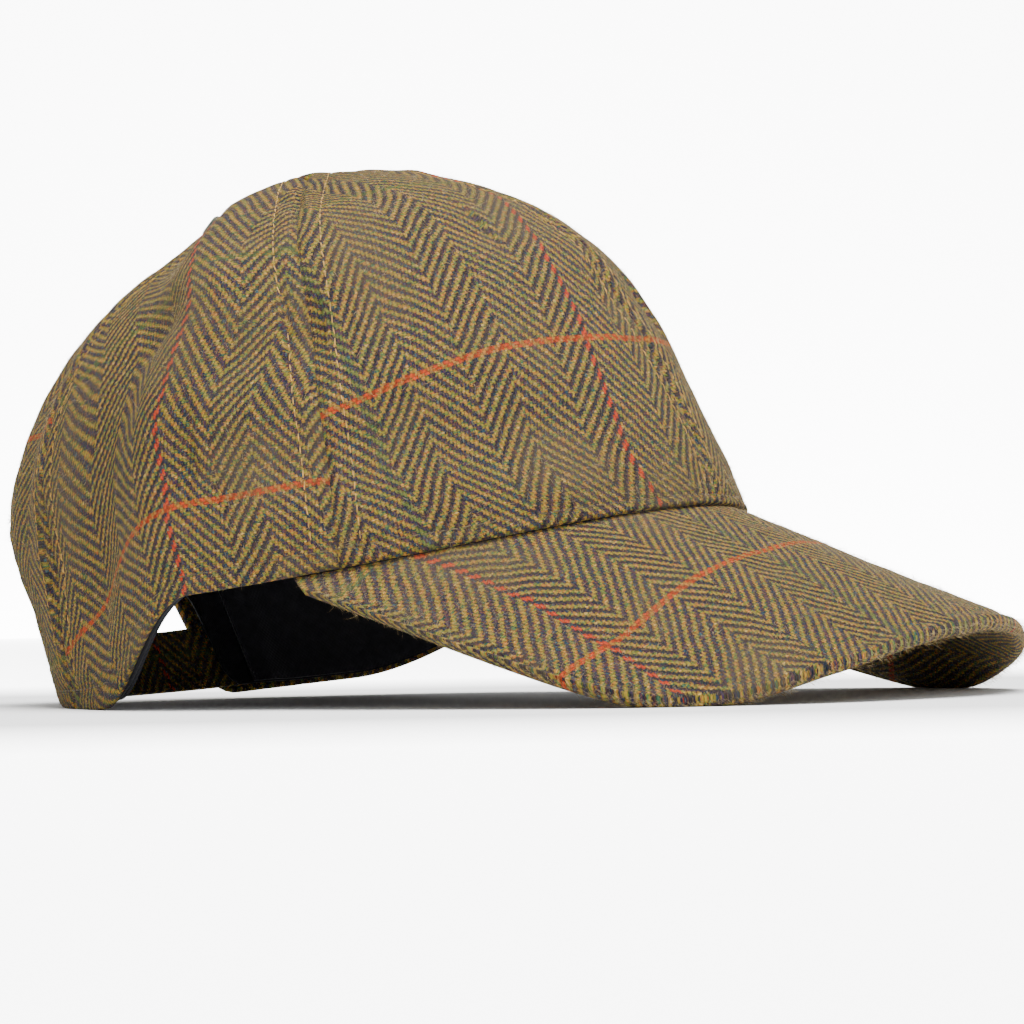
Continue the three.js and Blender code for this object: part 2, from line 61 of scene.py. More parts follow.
# Where the rim comes down behind each ear, and how far below the rim plane it then lies
EAR = {1: (94, 119, 17.3), -1: (74, 124, 12.2)}
BACK_EASE = (120, 170)
FOLDS = [
    # angle, drop, to angle, to drop, width, depth
    (38, 0.79, 90, 0.8, 1.3, -0.6),
    (60, 0.6, 80, 0.64, 1.2, -0.6),
    (101, 0.22, 90, 0.5, 0.8, 0.45),
    (90, 0.5, 101, 0.8, 0.8, 0.45),
    (116, 0.28, 104, 0.52, 1.0, -0.8),
    (104, 0.52, 119, 0.86, 1.0, -0.9),
    (146, 0.5, 142, 0.74, 0.6, -0.5),
    (-44, 0.78, -88, 0.8, 1.3, -0.5),
    (-104, 0.4, -112, 0.8, 1.2, -0.7),
    (-152, 0.34, -138, 0.5, 1.1, -0.4),
    (166, 0.58, 190, 0.6, 0.8, -0.4),
]
# Each seam's angle at the top and at the rim, in degrees
SEAMS = {"front": (0, 0), "front_side": (73, 70), "side_back": (130, 134.5), "back": (180, 180)}
ALL_SEAMS = [*SEAMS.values(), (-73, -70), (-130, -134.5)]


def spline(values, x, before=None, after=None):
    """A curve through evenly spaced values, at shares x of its length."""
    v = np.asarray(values, float)
    n = len(v) - 1
    first = 2 * v[0] - v[1] if before is None else before
    last = 2 * v[-1] - v[-2] if after is None else after
    w = np.concatenate([[first], v, [last]])
    at = np.clip(x, 0, 1) * n
    i = np.minimum(np.floor(at).astype(int), n - 1)
    f = at - i
    a, b, c, d = w[i], w[i + 1], w[i + 2], w[i + 3]
    return b + 0.5 * f * (c - a + f * (2 * a - 5 * b + 4 * c - d + f * (3 * (b - c) + d - a)))


def smooth(x, a, b):
    k = np.clip((x - a) / (b - a), 0, 1)
    return k * k * (3 - 2 * k)


def rim_height(angle):
    deg = np.degrees(np.abs(angle))
    down = np.where(angle > 0, smooth(deg, *EAR[1][:2]), smooth(deg, *EAR[-1][:2]))
    ear = np.where(angle > 0, EAR[1][2], EAR[-1][2])
    low = ear + (BACK_DROP - ear) * smooth(deg, *BACK_EASE)
    front = np.maximum(np.cos(angle), 0)
    return SIDE_RISE + (FRONT_RISE - SIDE_RISE) * front**2 - (low + SIDE_RISE) * down


def plain(angle, drop):
    """The crown without folds. Angles in radians from the front, + to the wearer's right."""
    angle, drop = np.broadcast_arrays(np.asarray(angle, float), np.asarray(drop, float))
    angle = (angle + np.pi) % (2 * np.pi) - np.pi
    s, c = np.sin(angle), np.cos(angle)
    ahead = c > 0
    front_reach = FRONT_REACH * spline(SECTIONS[:, 0], drop)
    back_reach = BACK_REACH * spline(SECTIONS[:, 2], drop)
    reach = np.where(ahead, front_reach, back_reach)
    end = np.where(ahead, spline(SECTIONS[:, 3], drop), spline(SECTIONS[:, 5], drop))
    side = spline(SECTIONS[:, 4], drop)
    slim = np.where(ahead, 1, 1 - BACK_TAPER * (2 * s * c) ** 2)
    x = -HALF_WIDTH * spline(SECTIONS[:, 1], drop) * s * slim
    y = -reach * c * slim
    z = CROWN_HEIGHT * (side + (end - side) * c * c) + rim_height(angle) * drop**2
    z = z - DIMPLE_DEPTH * np.exp(-(x * x + y * y) / DIMPLE_RADIUS**2)
    return np.stack([x, y + TOP_SHIFT * (1 - drop), z], -1)


def unit(v):
    return v / np.maximum(np.linalg.norm(v, axis=-1, keepdims=True), 1e-12)


def plain_normal(angle, drop, step=0.004):
    drop = np.asarray(drop, float)
    d = np.maximum(drop, step)
    around = plain(angle + step, d) - plain(angle - step, d)
    down = plain(angle, np.minimum(drop + step, 1)) - plain(angle, np.maximum(drop - step, step))
    return unit(np.cross(around, down))


def fold_shift(angle, drop):
    shift = np.zeros(np.broadcast(angle, drop).shape)
    radius = HALF_WIDTH * spline(SECTIONS[:, 1], drop)
    for a0, d0, a1, d1, width, depth in FOLDS:
        def away(v):
            return (np.radians(v) - angle + np.pi) % (2 * np.pi) - np.pi
        sx, sy = away(a0) * radius, (d0 - drop) * CLOTH_LENGTH
        ex, ey = away(a1) * radius, (d1 - drop) * CLOTH_LENGTH
        lx, ly = ex - sx, ey - sy
        k = np.clip(-(sx * lx + sy * ly) / np.maximum(lx * lx + ly * ly, 1e-9), 0, 1)
        dist2 = (sx + k * lx) ** 2 + (sy + k * ly) ** 2
        shift = shift + depth * FOLD_DEPTH * np.exp(-dist2 / (width * FOLD_WIDTH) ** 2)
    return shift


def crown(angle, drop, depth=0.0):
    return plain(angle, drop) + plain_normal(angle, drop) * (fold_shift(angle, drop) - depth)[..., None]


# How the cap comes to rest, as in the CAD model, and how far above the floor its lowest points are
REST_TILT = np.radians(6.7993)
REST_LIFT = 22.485
REST_SHIFT = 34.186
FLOOR_CLEAR = 0.05

# The cloth's thickness, the gap between pieces, how far the lining keeps from the rim and the arch,
# the band, the arch itself, the strap and its tab
CLOTH = 1.8
GAP = 0.3
RIM_TURN, ARCH_TURN = 1.3, 3.4
BAND_HEIGHT, BAND_THICK = 32.0, 1.2
ARCH_HALF_WIDTH, ARCH_HEIGHT, ARCH_POWER = 42.5, 52.0, 3.3
ARCH_CORNER, CORNER_SHARE = 8.0, 0.1
BACK_RADIUS = BACK_REACH * SECTIONS[-1, 2]
STRAP_WIDTH, STRAP_RISE, STRAP_CLOTH = 17.5, 1.6, 1.8
STRAP_HOLD = 11.0
TAB_LENGTH, TAB_WIDTH, TAB_END, TAB_CLOTH = 58.0, 15.0, 37.0, 1.6
EASE_START, EASE_END = 5.0, 15.0
STRAP_BOTTOM = 1 - STRAP_RISE / CLOTH_LENGTH
STRAP_TOP = STRAP_BOTTOM - STRAP_WIDTH / CLOTH_LENGTH
STRAP_DEPTH = 2.2
STRAP_REACH = ARCH_HALF_WIDTH + STRAP_HOLD
# Where the panels begin at the top, as a drop, and the share of a back panel's columns that the
# arch's corner takes
TOP_DROP = 0.0212
CORNER_COLUMN = 0.2


def to_world(p):
    """From the cap's frame in millimetres to the row frame in metres, flat where it rests."""
    p = np.asarray(p, float)
    s, c = np.sin(REST_TILT), np.cos(REST_TILT)
    y = p[..., 1] * c + p[..., 2] * s + REST_SHIFT
    z = -p[..., 1] * s + p[..., 2] * c + REST_LIFT
    return np.stack([p[..., 0], y, np.maximum(z, FLOOR_CLEAR)], -1) / 1000


# Meshes

def mesh_piece(name, points, faces, material, uv=None):
    """A smooth-shaded mesh from points in the cap's frame, with the cloth's own measure as its UV."""
    me = bpy.data.meshes.new(name)
    me.from_pydata(to_world(points).tolist(), [], faces.tolist() if hasattr(faces, "tolist") else faces)
    if uv is not None:
        layer = me.uv_layers.new(name="weave")
        index = np.zeros(len(me.loops), dtype=np.int32)
        me.loops.foreach_get("vertex_index", index)
        layer.data.foreach_set("uv", np.asarray(uv, float)[index].ravel())
    me.polygons.foreach_set("use_smooth", [True] * len(me.polygons))
    me.materials.append(material)
    me.validate()
    obj = bpy.data.objects.new(name, me)
    bpy.context.scene.collection.objects.link(obj)
    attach(obj, "root")
    return obj


def grid_faces(rows, cols, closed=False, first=0):
    i, j = np.meshgrid(np.arange(rows - 1), np.arange(cols if closed else cols - 1), indexing="ij")
    a = i * cols + j
    b = i * cols + (j + 1) % cols
    return np.stack([a, b, b + cols, a + cols], -1).reshape(-1, 4)[:, ::-1] + first


WAVE_COUNT = 7


def waves(p, size, seed):
    """Smooth noise from -1 to 1 at points p, with features of about that size."""
    r = np.random.default_rng(seed)
    total = np.zeros(p.shape[:-1])
    for _ in range(WAVE_COUNT):
        k = unit(r.normal(size=3)) * 2 * np.pi / (size * r.uniform(0.7, 1.5))
        total += np.sin(p @ k + r.uniform(0, 2 * np.pi))
    return total / WAVE_COUNT**0.5 / 1.3


# The crown's surface in detail

# How far the stitches are from a seam, and from the rim or the arch's edge
STITCH_OFF, HEM_OFF = 5.6, 5.2


def radius_at(angle, drop):
    p = plain(angle, drop)
    return np.hypot(p[..., 0], p[..., 1])


def seam_distance(angle, drop):
    radius = radius_at(angle, drop)
    best = np.full(np.shape(angle * drop), 1e3)
    for top, rim in ALL_SEAMS:
        at = np.radians(top + (rim - top) * drop)
        away = np.abs((angle - at + np.pi) % (2 * np.pi) - np.pi) * radius
        best = np.minimum(best, away)
    return best


def from_back(angle):
    """How far round the crown a place is from the middle of the back."""
    return (np.pi - np.abs((angle + np.pi) % (2 * np.pi) - np.pi)) * BACK_RADIUS


def arch_distance(angle, drop):
    """How far a place on the crown is outside the arch's edge, about."""
    a = from_back(angle) / ARCH_HALF_WIDTH
    b = (1 - drop) * CLOTH_LENGTH / ARCH_HEIGHT
    return ((np.abs(a) ** ARCH_POWER + np.abs(b) ** ARCH_POWER) ** (1 / ARCH_POWER) - 1) * ARCH_HEIGHT


def edge_distance(angle, drop):
    return np.minimum((1 - drop) * CLOTH_LENGTH, np.maximum(arch_distance(angle, drop), 0))


def bell(x, middle, width):
    return np.exp(-(((x - middle) / width) ** 2))


def relief(angle, drop):
    """Seams, stitched channels, puckers and small unevenness, outward."""
    p = plain(angle, drop)
    seam = seam_distance(angle, drop)
    edge = edge_distance(angle, drop)
    fade = smooth(drop, 0.02, 0.09)
    h = -1.0 * bell(seam, 0, 0.9) + 0.3 * bell(seam, 3.0, 1.8) - 0.3 * bell(seam, STITCH_OFF, 0.8)
    along = drop * CLOTH_LENGTH
    h += 0.16 * waves(np.stack([along, angle * 3, angle * 0], -1), 7.0, 3) * bell(seam, 3, 6)
    h *= fade
    h += -0.3 * bell(edge, HEM_OFF, 0.8) + 0.2 * bell(edge, 2.5, 1.6)
    h += 0.22 * waves(p, 9.0, 5) * bell(edge, 4, 9)
    h += 0.45 * waves(p, 34.0, 11) * fade + 0.13 * waves(p, 11.0, 13) * fade
    return h


def cloth(angle, drop, depth=0.0):
    return crown(angle, drop, depth - relief(angle, drop))


def arch_edge(share, grow=0.0):
    """Across from the middle of the back and up from the rim, along the arch's edge."""
    bend = 2 / ARCH_POWER
    high = ARCH_HEIGHT + grow
    corner_turn = np.arcsin((ARCH_CORNER / high) ** (1 / bend))
    past = np.maximum(share - CORNER_SHARE, 0) / (1 - CORNER_SHARE)
    turn = corner_turn + past * (np.pi / 2 - corner_turn)
    rounding = np.minimum(share / CORNER_SHARE, 1) * np.pi / 2
    across = (ARCH_HALF_WIDTH + grow) * np.maximum(np.cos(turn), 0) ** bend
    across = across + ARCH_CORNER * (1 - np.sin(rounding))
    up = np.where(past > 0, high * np.sin(turn) ** bend, ARCH_CORNER * (1 - np.cos(rounding)))
    return across, up


def arch_up(angle, grow=0.0):
    """How high above the rim the arch's edge is at an angle, 0 beside the arch."""
    across = from_back(angle)
    wide = ARCH_HALF_WIDTH + grow
    inside = (ARCH_HEIGHT + grow) * (1 - np.clip(across / wide, 0, 1) ** ARCH_POWER) ** (1 / ARCH_POWER)
    flare = 1 - np.clip((across - wide) / ARCH_CORNER, 0, 1)
    return np.where(across < wide, np.maximum(inside, ARCH_CORNER), ARCH_CORNER * (1 - np.sqrt(1 - flare**2)))


def foot_of(arched, rim_angle, share, rim_back, arch_back):
    """A panel's lower edge: the share across and the drop of the foot of each of its columns."""
    rim_drop = 1 - rim_back / CLOTH_LENGTH
    if not arched:
        return share, np.full_like(share, rim_drop)
    start = np.radians(rim_angle)
    across, up = arch_edge(np.clip((share - CORNER_COLUMN) / (1 - CORNER_COLUMN), 0, 1), arch_back)
    angle = np.pi - across / BACK_RADIUS
    drop = 1 - up / CLOTH_LENGTH
    corner_angle = np.pi - (ARCH_HALF_WIDTH + ARCH_CORNER + arch_back) / BACK_RADIUS
    corner = (corner_angle - start) / (np.pi - start)
    on_rim = share <= CORNER_COLUMN
    out_share = np.where(on_rim, share / CORNER_COLUMN * corner, (angle - start) / (np.pi - start))
    return out_share, np.where(on_rim, rim_drop, np.minimum(drop, rim_drop))


def cloth_place(seams, arched, share, row, rim_back, arch_back):
    """Angle and drop on a panel, at a share across it and a row down it."""
    (top0, rim0), (top1, rim1) = seams
    foot_share, foot_drop = foot_of(arched, rim0, share, 0.0, 0.0)
    back_share, back_drop = foot_of(arched, rim0, share, rim_back, arch_back)
    late = row**8
    drop = TOP_DROP + (foot_drop - TOP_DROP) * row + (back_drop - foot_drop) * late
    across = share + (foot_share - share) * row**2 + (back_share - foot_share) * late
    a = np.radians(top0 + (rim0 - top0) * drop)
    b = np.radians(top1 + (rim1 - top1) * drop)
    return a + (b - a) * across, drop


# The cloth's own measure on a table of angles and drops: ROUND mm round the crown, and DOWN mm
# down from its top
TABLE_ANGLE = np.radians(np.linspace(-200, 200, 801))
TABLE_DROP = np.linspace(0, 1, 161)


def summed_steps(points, axis):
    steps = np.linalg.norm(np.diff(points, axis=axis), axis=-1)
    total = np.cumsum(steps, axis=axis)
    start = np.zeros_like(total.take([0], axis=axis))
    return np.concatenate([start, total], axis=axis)


TABLE_POINTS = plain(*np.meshgrid(TABLE_ANGLE, TABLE_DROP))
DOWN, ROUND = summed_steps(TABLE_POINTS, 0), summed_steps(TABLE_POINTS, 1)


def look_up(table, angle, drop):
    i = np.clip(drop, 0, 1) * (len(TABLE_DROP) - 1)
    j = (angle - TABLE_ANGLE[0]) / (TABLE_ANGLE[1] - TABLE_ANGLE[0])
    i0 = np.minimum(i.astype(int), len(TABLE_DROP) - 2)
    j0 = np.clip(j.astype(int), 0, len(TABLE_ANGLE) - 2)
    fi, fj = i - i0, j - j0
    a = table[i0, j0] * (1 - fj) + table[i0, j0 + 1] * fj
    b = table[i0 + 1, j0] * (1 - fj) + table[i0 + 1, j0 + 1] * fj
    return a * (1 - fi) + b * fi


def curve(points):
    """A rounded curve along (x, y) pairs, x in degrees or hundredths."""
    x, y = np.array(points, float).T
    grid = np.arange(-40, 241)
    line = np.interp(grid, x, y)
    kernel = np.hanning(13)
    line = np.convolve(np.pad(line, 6, mode="edge"), kernel / kernel.sum(), mode="valid")
    return lambda q: np.interp(q, grid, line)


# Where the coloured lines of the check cross each panel: the warp line's angle at each drop, in
# hundredths of the way down, and the weft line's drop at each angle
PANELS = {
    "front": {
        "seams": (SEAMS["front"], SEAMS["front_side"]),
        "warp": curve([(0, 0), (31.5, 7.5), (42.5, 14.5), (53, 18.5), (65, 20), (84, 21), (98, 17)]),
        "weft": curve([
            (0, 0.648), (15, 0.65), (32, 0.657), (41, 0.667),
            (49, 0.685), (57, 0.705), (65, 0.733), (73, 0.755),
        ]),
    },
    "side": {
        "seams": (SEAMS["front_side"], SEAMS["side_back"]),
        "warp": curve([(0, 108), (27.5, 100), (54, 92.5), (65, 95), (74, 98), (85, 97), (98.5, 93.5)]),
        "weft": curve([
            (71, 0.848), (86, 0.853), (97, 0.85), (107, 0.835),
            (114, 0.843), (122.5, 0.878), (133, 0.915),
        ]),
    },
    "back": {
        "seams": (SEAMS["side_back"], SEAMS["back"]),
        "warp": curve([(0, 160), (100, 162)]),
        "weft": curve([(128, 0.58), (180, 0.56)]),
        "arched": True,
    },
}
# How far round the left panels' cloth is shifted
LEFT_SHIFT = 9.2


def cloth_uv(spec, side, angle, drop):
    line = side * np.radians(spec["warp"](100 * drop))
    row = spec["weft"](np.degrees(np.abs(angle)))
    u = look_up(ROUND, angle, drop) - look_up(ROUND, line, drop)
    v = look_up(DOWN, angle, drop) - look_up(DOWN, angle, row)
    return np.stack([u if side > 0 else u + LEFT_SHIFT, v], -1)


def side_word(side):
    return "right" if side > 0 else "left"


def panel_piece(word, side, material):
    """A panel's outer face, its turned lower edge and its inner face, as one mesh."""
    spec = PANELS[word]
    arched = spec.get("arched", False)
    cols, outer_rows, inner_rows, crowding = 84, 120, 14, 0.028
    even = np.linspace(0, 1, cols)
    share = even - crowding * np.sin(4 * np.pi * even) / (2 * np.pi) * 4
    half = CLOTH / 2
    layers = [(r, 0.0, 0.0) for r in np.linspace(0, 1, outer_rows)[:-1]]
    for turn in np.radians([0, 35, 70, 110, 145, 180]):
        layers.append((1.0, half * (1 - np.sin(turn)), half * (1 - np.cos(turn))))
    for r in np.linspace(1, 0, inner_rows)[1:]:
        layers.append((r, 0.0, CLOTH))
    points, uvs = [], []
    for r, back, depth in layers:
        angle, drop = cloth_place(spec["seams"], arched, share, np.full(cols, r), back, back)
        angle = side * angle
        keep = relief(angle, drop) * np.clip(1 - depth / CLOTH, 0, 1)
        points.append(crown(angle, drop, depth - keep))
        uv = cloth_uv(spec, side, angle, drop)
        uv[:, 1] += depth
        uvs.append(uv)
    faces = grid_faces(len(layers), cols)
    if side < 0:
        faces = faces[:, ::-1]
    name = f"{word}_{side_word(side)}"
    obj = mesh_piece(f"{name}_tweed", np.concatenate(points), faces, material, np.concatenate(uvs))
    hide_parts(f"panel_{name}")


# Materials, written as sums of node sockets

class Val:
    """A socket or number that arithmetic turns into Math nodes."""

    def __init__(self, tree, value):
        self.tree, self.value = tree, value

    def op(self, kind, *others):
        node = self.tree.nodes.new("ShaderNodeMath")
        node.operation = kind
        for slot, item in zip(node.inputs, (self, *others)):
            value = item.value if isinstance(item, Val) else item
            if isinstance(value, (int, float)):
                slot.default_value = value
            else:
                self.tree.links.new(value, slot)
        return Val(self.tree, node.outputs[0])

    def __add__(self, o): return self.op("ADD", o)
    def __sub__(self, o): return self.op("SUBTRACT", o)
    def __mul__(self, o): return self.op("MULTIPLY", o)
    def __truediv__(self, o): return self.op("DIVIDE", o)
    def __mod__(self, o): return self.op("FLOORED_MODULO", o)
    def __pow__(self, o): return self.op("POWER", o)
    def __lt__(self, o): return self.op("LESS_THAN", o)
    def __gt__(self, o): return self.op("GREATER_THAN", o)
    def rsub(self, o): return Val(self.tree, float(o)).op("SUBTRACT", self)
    def floor(self): return self.op("FLOOR")
    def sin(self): return self.op("SINE")
    def abs(self): return self.op("ABSOLUTE")
    def max(self, o): return self.op("MAXIMUM", o)
    def min(self, o): return self.op("MINIMUM", o)
    def times_add(self, factor, add): return self.op("MULTIPLY_ADD", factor, add)
    def clip(self, low, high): return self.max(low).min(high)

    def mix(self, a, b):
        """a where this is 0, b where it is 1."""
        a, b = (v if isinstance(v, Val) else Val(self.tree, float(v)) for v in (a, b))
        return a + (b - a) * self


def linear(rgb):
    """A colour socket's value from 0 to 255 sRGB."""
    c = np.array(rgb) / 255
    c = np.where(c <= 0.04045, c / 12.92, ((c + 0.055) / 1.055) ** 2.4)
    return (*c.tolist(), 1.0)


class Shader:
    """A material's nodes, with short ways to add the kinds used here."""

    def __init__(self, name, roughness=0.9, sheen=0.0, specular=0.3):
        self.mat = bpy.data.materials.new(name)
        self.mat.use_nodes = True
        self.tree = self.mat.node_tree
        self.nodes, self.links = self.tree.nodes, self.tree.links
        self.bsdf = self.nodes["Principled BSDF"]
        self.bsdf.inputs["Roughness"].default_value = roughness
        self.bsdf.inputs["Specular IOR Level"].default_value = specular
        self.bsdf.inputs["Sheen Weight"].default_value = sheen
        self.bsdf.inputs["Sheen Roughness"].default_value = 0.45

    def uv(self):
        node = self.nodes.new("ShaderNodeUVMap")
        node.uv_map = "weave"
        split = self.nodes.new("ShaderNodeSeparateXYZ")
        self.links.new(node.outputs[0], split.inputs[0])
        return Val(self.tree, split.outputs[0]), Val(self.tree, split.outputs[1])

    def vector(self, x, y, z=0.0):
        node = self.nodes.new("ShaderNodeCombineXYZ")
        for slot, item in zip(node.inputs, (x, y, z)):
            if isinstance(item, Val) and not isinstance(item.value, (int, float)):
                self.links.new(item.value, slot)
            else:
                slot.default_value = item.value if isinstance(item, Val) else item
        return node.outputs[0]

    def noise(self, vector, scale, detail=2.0, rough=0.55):
        node = self.nodes.new("ShaderNodeTexNoise")
        node.inputs["Scale"].default_value = scale
        node.inputs["Detail"].default_value = detail
        node.inputs["Roughness"].default_value = rough
        self.links.new(vector, node.inputs["Vector"])
        return Val(self.tree, node.outputs[0])

    def ramp(self, value, stops):
        node = self.nodes.new("ShaderNodeValToRGB")
        elements = node.color_ramp.elements
        while len(elements) < len(stops):
            elements.new(0.5)
        for element, (at, rgb) in zip(elements, stops):
            element.position = at
            element.color = linear(rgb)
        self.links.new(value.value, node.inputs[0])
        return node.outputs[0]

    def mix(self, factor, a, b, kind="MIX"):
        node = self.nodes.new("ShaderNodeMix")
        node.data_type = "RGBA"
        node.blend_type = kind
        node.clamp_result = True
        if isinstance(factor, Val):
            self.links.new(factor.value, node.inputs["Factor"])
        else:
            node.inputs["Factor"].default_value = factor
        for slot, item in ((node.inputs[6], a), (node.inputs[7], b)):
            if isinstance(item, tuple):
                slot.default_value = item
            else:
                self.links.new(item, slot)
        return node.outputs[2]

    def bump(self, height, distance, strength=1.0):
        node = self.nodes.new("ShaderNodeBump")
        node.inputs["Strength"].default_value = strength
        node.inputs["Distance"].default_value = distance
        self.links.new(height.value, node.inputs["Height"])
        self.links.new(node.outputs[0], self.bsdf.inputs["Normal"])

    def colour(self, socket):
        self.links.new(socket, self.bsdf.inputs["Base Color"])

    def object_coords(self):
        return self.nodes.new("ShaderNodeTexCoord").outputs["Object"]


# The tweed: a two-and-two twill whose slant turns at every column of the herringbone. END and PICK
# are the width of a warp and a weft yarn, NARROW and PAIR the yarns in the narrow column and in both
# columns, and the repeats the yarns from one coloured line to the next.
END, PICK = 0.82, 1.0
NARROW, PAIR = 14, 32
WARP_REPEAT, WEFT_REPEAT = 160, 132
# How far yarns wander, shake and fray
WANDER, SHAKE, RAG = 2.6, 0.9, 1.6
# The least height of a yarn, where it dives, and what it rises by
DIVE, RISE = 0.35, 0.65


def tweed(name):
    s = Shader(name, roughness=0.92, sheen=0.05, specular=0.15)
    u, v = s.uv()
    flat = s.vector(u, v)
    wander = s.noise(flat, 0.06, 1.0)
    shake = s.noise(flat, 1.1, 2.0)
    shake2 = s.noise(s.vector(u + 31.7, v + 5.3), 1.1, 2.0)
    rag = s.noise(s.vector(u, v, 8.0), 2.8, 2.0, 0.7)
    rag2 = s.noise(s.vector(u, v, 21.0), 2.8, 2.0, 0.7)
    x = (u + (wander - 0.5) * WANDER + (shake - 0.5) * SHAKE + (rag - 0.5) * RAG) / END
    y = (v + (shake2 - 0.5) * SHAKE + (rag2 - 0.5) * RAG) / PICK
    end, pick = x.floor(), y.floor()
    narrow = (end % PAIR) < NARROW
    slant = narrow.mix(1.0, -1.0)
    flip = narrow.mix(0.0, 2.0)
    # where each yarn is in its four-step cycle
    warp_at = (y + end * slant + flip) % 4.0
    weft_at = (pick + x * slant + flip) % 4.0
    warp_up = ((pick + end * slant + flip) % 4.0) < 2.0
    across_warp = (x % 1.0) * 2.0 - 1.0
    across_weft = (y % 1.0) * 2.0 - 1.0
    warp_round = ((across_warp * across_warp).rsub(1.0)).max(0.0) ** 0.5
    weft_round = ((across_weft * across_weft).rsub(1.0)).max(0.0) ** 0.5
    warp_high = warp_round * ((warp_at * (np.pi / 2)).sin().max(0.0) * RISE + DIVE)
    weft_high = weft_round * (((weft_at - 2.0) * (np.pi / 2)).sin().max(0.0) * RISE + DIVE)
    height = warp_up.mix(weft_high * 0.8, warp_high)
    fibre = s.noise(s.vector(u, v), 4.2, 3.0, 0.8)

    # each yarn changes colour along its length
    warp_fleck = s.noise(s.vector(end * 7.31, v), 1.0, 3.0, 0.8).times_add(3.2, -1.1)
    weft_fleck = s.noise(s.vector(u, pick * 7.31, 9.0), 1.0, 3.0, 0.8).times_add(3.2, -1.1)
    hue = s.noise(s.vector(end * 3.17 + 4.0, v * 0.4), 1.0, 2.0, 0.7)
    light = s.ramp(warp_fleck, [
        (0.12, (28, 88, 70)), (0.28, (88, 118, 42)), (0.44, (156, 138, 36)),
        (0.60, (178, 136, 50)), (0.76, (178, 78, 24)), (0.90, (204, 176, 96)),
    ])
    light = s.mix(hue.times_add(5.0, -2.7).clip(0.0, 0.45), light, linear((120, 126, 74)))
    dark = s.ramp(weft_fleck, [
        (0.12, (14, 70, 92)), (0.28, (12, 24, 66)), (0.44, (20, 22, 42)),
        (0.58, (42, 26, 82)), (0.74, (112, 42, 24)), (0.88, (34, 88, 104)),
    ])

    # the check: red warp and orange weft lines, and faint green ones half way between them
    red, green, orange = linear((214, 44, 18)), linear((70, 104, 50)), linear((222, 70, 14))
    warp_line = end % WARP_REPEAT
    light = s.mix((warp_line < 2.0) * 0.92, light, red)
    half = warp_line - WARP_REPEAT / 2.0
    light = s.mix((half.abs() < 1.2) * 0.75, light, green)
    weft_line = y % WEFT_REPEAT
    on_line = (weft_line > 0.1) * (weft_line < 1.8)
    dark = s.mix(on_line * 0.95, dark, orange)
    half = weft_line - WEFT_REPEAT / 2.0
    dark = s.mix((half.abs() < 1.2) * 0.75, dark, green)
    cloth_colour = s.mix(warp_up, dark, light)
    cloth_colour = s.mix(on_line * 0.3, cloth_colour, orange)
    speck = s.noise(s.vector(u, v, 60.0), 2.4, 3.0, 0.85)
    pale, deep = speck.times_add(9.0, -5.0).clip(0.0, 0.5), speck.times_add(-9.0, 4.0).clip(0.0, 0.5)
    cloth_colour = s.mix(pale, cloth_colour, linear((176, 150, 70)))
    cloth_colour = s.mix(deep, cloth_colour, linear((32, 56, 80)))

    # painted shade darkens each yarn towards its edges and where it dives under the next, with random fibre
    # tone on top; the wool's fuzz blurs the pattern a little
    weave_shade_and_tone = (height * 0.95 + 0.08 + (fibre - 0.5) * 2.6).clip(0.04, 1.5)
    weave_shade_grey = s.nodes.new("ShaderNodeCombineColor")
    for slot in weave_shade_grey.inputs:
        s.links.new(weave_shade_and_tone.value, slot)
    cloth_colour = s.mix(1.0, cloth_colour, weave_shade_grey.outputs[0], "MULTIPLY")
    fuzz = s.noise(s.vector(u * 0.9, v * 0.9, 3.0), 2.6, 4.0, 0.8).times_add(3.0, -1.45)
    cloth_colour = s.mix(fuzz.clip(0.0, 0.14), cloth_colour, linear((122, 112, 84)))
    patch = s.noise(s.vector(u, v, 40.0), 0.035, 2.0).times_add(1.6, -0.7)
    cloth_colour = s.mix(patch.clip(0.0, 0.3), cloth_colour, linear((96, 84, 62)))
    s.colour(cloth_colour)
    s.bump(height + (fibre - 0.5) * 0.8, 0.00035, 0.9)
    s.bsdf.inputs["Sheen Tint"].default_value = linear((220, 205, 170))
    return s.mat


def plain_cloth(name, rgb, pitch=3.0, roughness=0.8):
    s = Shader(name, roughness=roughness, sheen=0.08, specular=0.25)
    u, v = s.uv()
    mottle = s.noise(s.vector(u, v), 0.25, 3.0)
    s.colour(s.mix(mottle, linear(rgb), linear(tuple(min(255, int(c * 1.6) + 3) for c in rgb))))
    weave = (u * (np.pi * pitch)).sin() * (v * (np.pi * pitch)).sin()
    s.bump(weave, 0.0001, 0.5)
    return s.mat


def thread(name, rgb, spread=0.25):
    s = Shader(name, roughness=0.55, sheen=0.05, specular=0.35)
    noise = s.noise(s.object_coords(), 900.0, 2.0)
    low = tuple(int(c * (1 - spread)) for c in rgb)
    high = tuple(min(255, int(c * (1 + spread))) for c in rgb)
    s.colour(s.ramp(noise, [(0.3, low), (0.7, high)]))
    return s.mat


# Peak

PEAK_LENGTH, PEAK_SPREAD, PEAK_DROOP, PEAK_THICK = 68.0, 5.5, 54.6, 4.4
PEAK_HALF_ANGLE = 78.0
PEAK_EDGE = np.array([
    # across, forward, down
    (0.0, 1.0, 0.784),
    (0.35, 0.919, 0.821),
    (0.664, 0.728, 0.918),
    (0.884, 0.39, 1.0),
    (1.0, -0.022, 0.868),
])
PEAK_END_DROP = 2.6
PEAK_END = plain(np.radians(PEAK_HALF_ANGLE), 1.0)
EDGE_X = np.append(PEAK_EDGE[:, 0] * (HALF_WIDTH + PEAK_SPREAD), -PEAK_END[0])
EDGE_Y = np.append(-FRONT_REACH - PEAK_EDGE[:, 1] * PEAK_LENGTH, PEAK_END[1])
EDGE_Z = np.append(FRONT_RISE - PEAK_EDGE[:, 2] * PEAK_DROOP, PEAK_END[2] - PEAK_END_DROP)


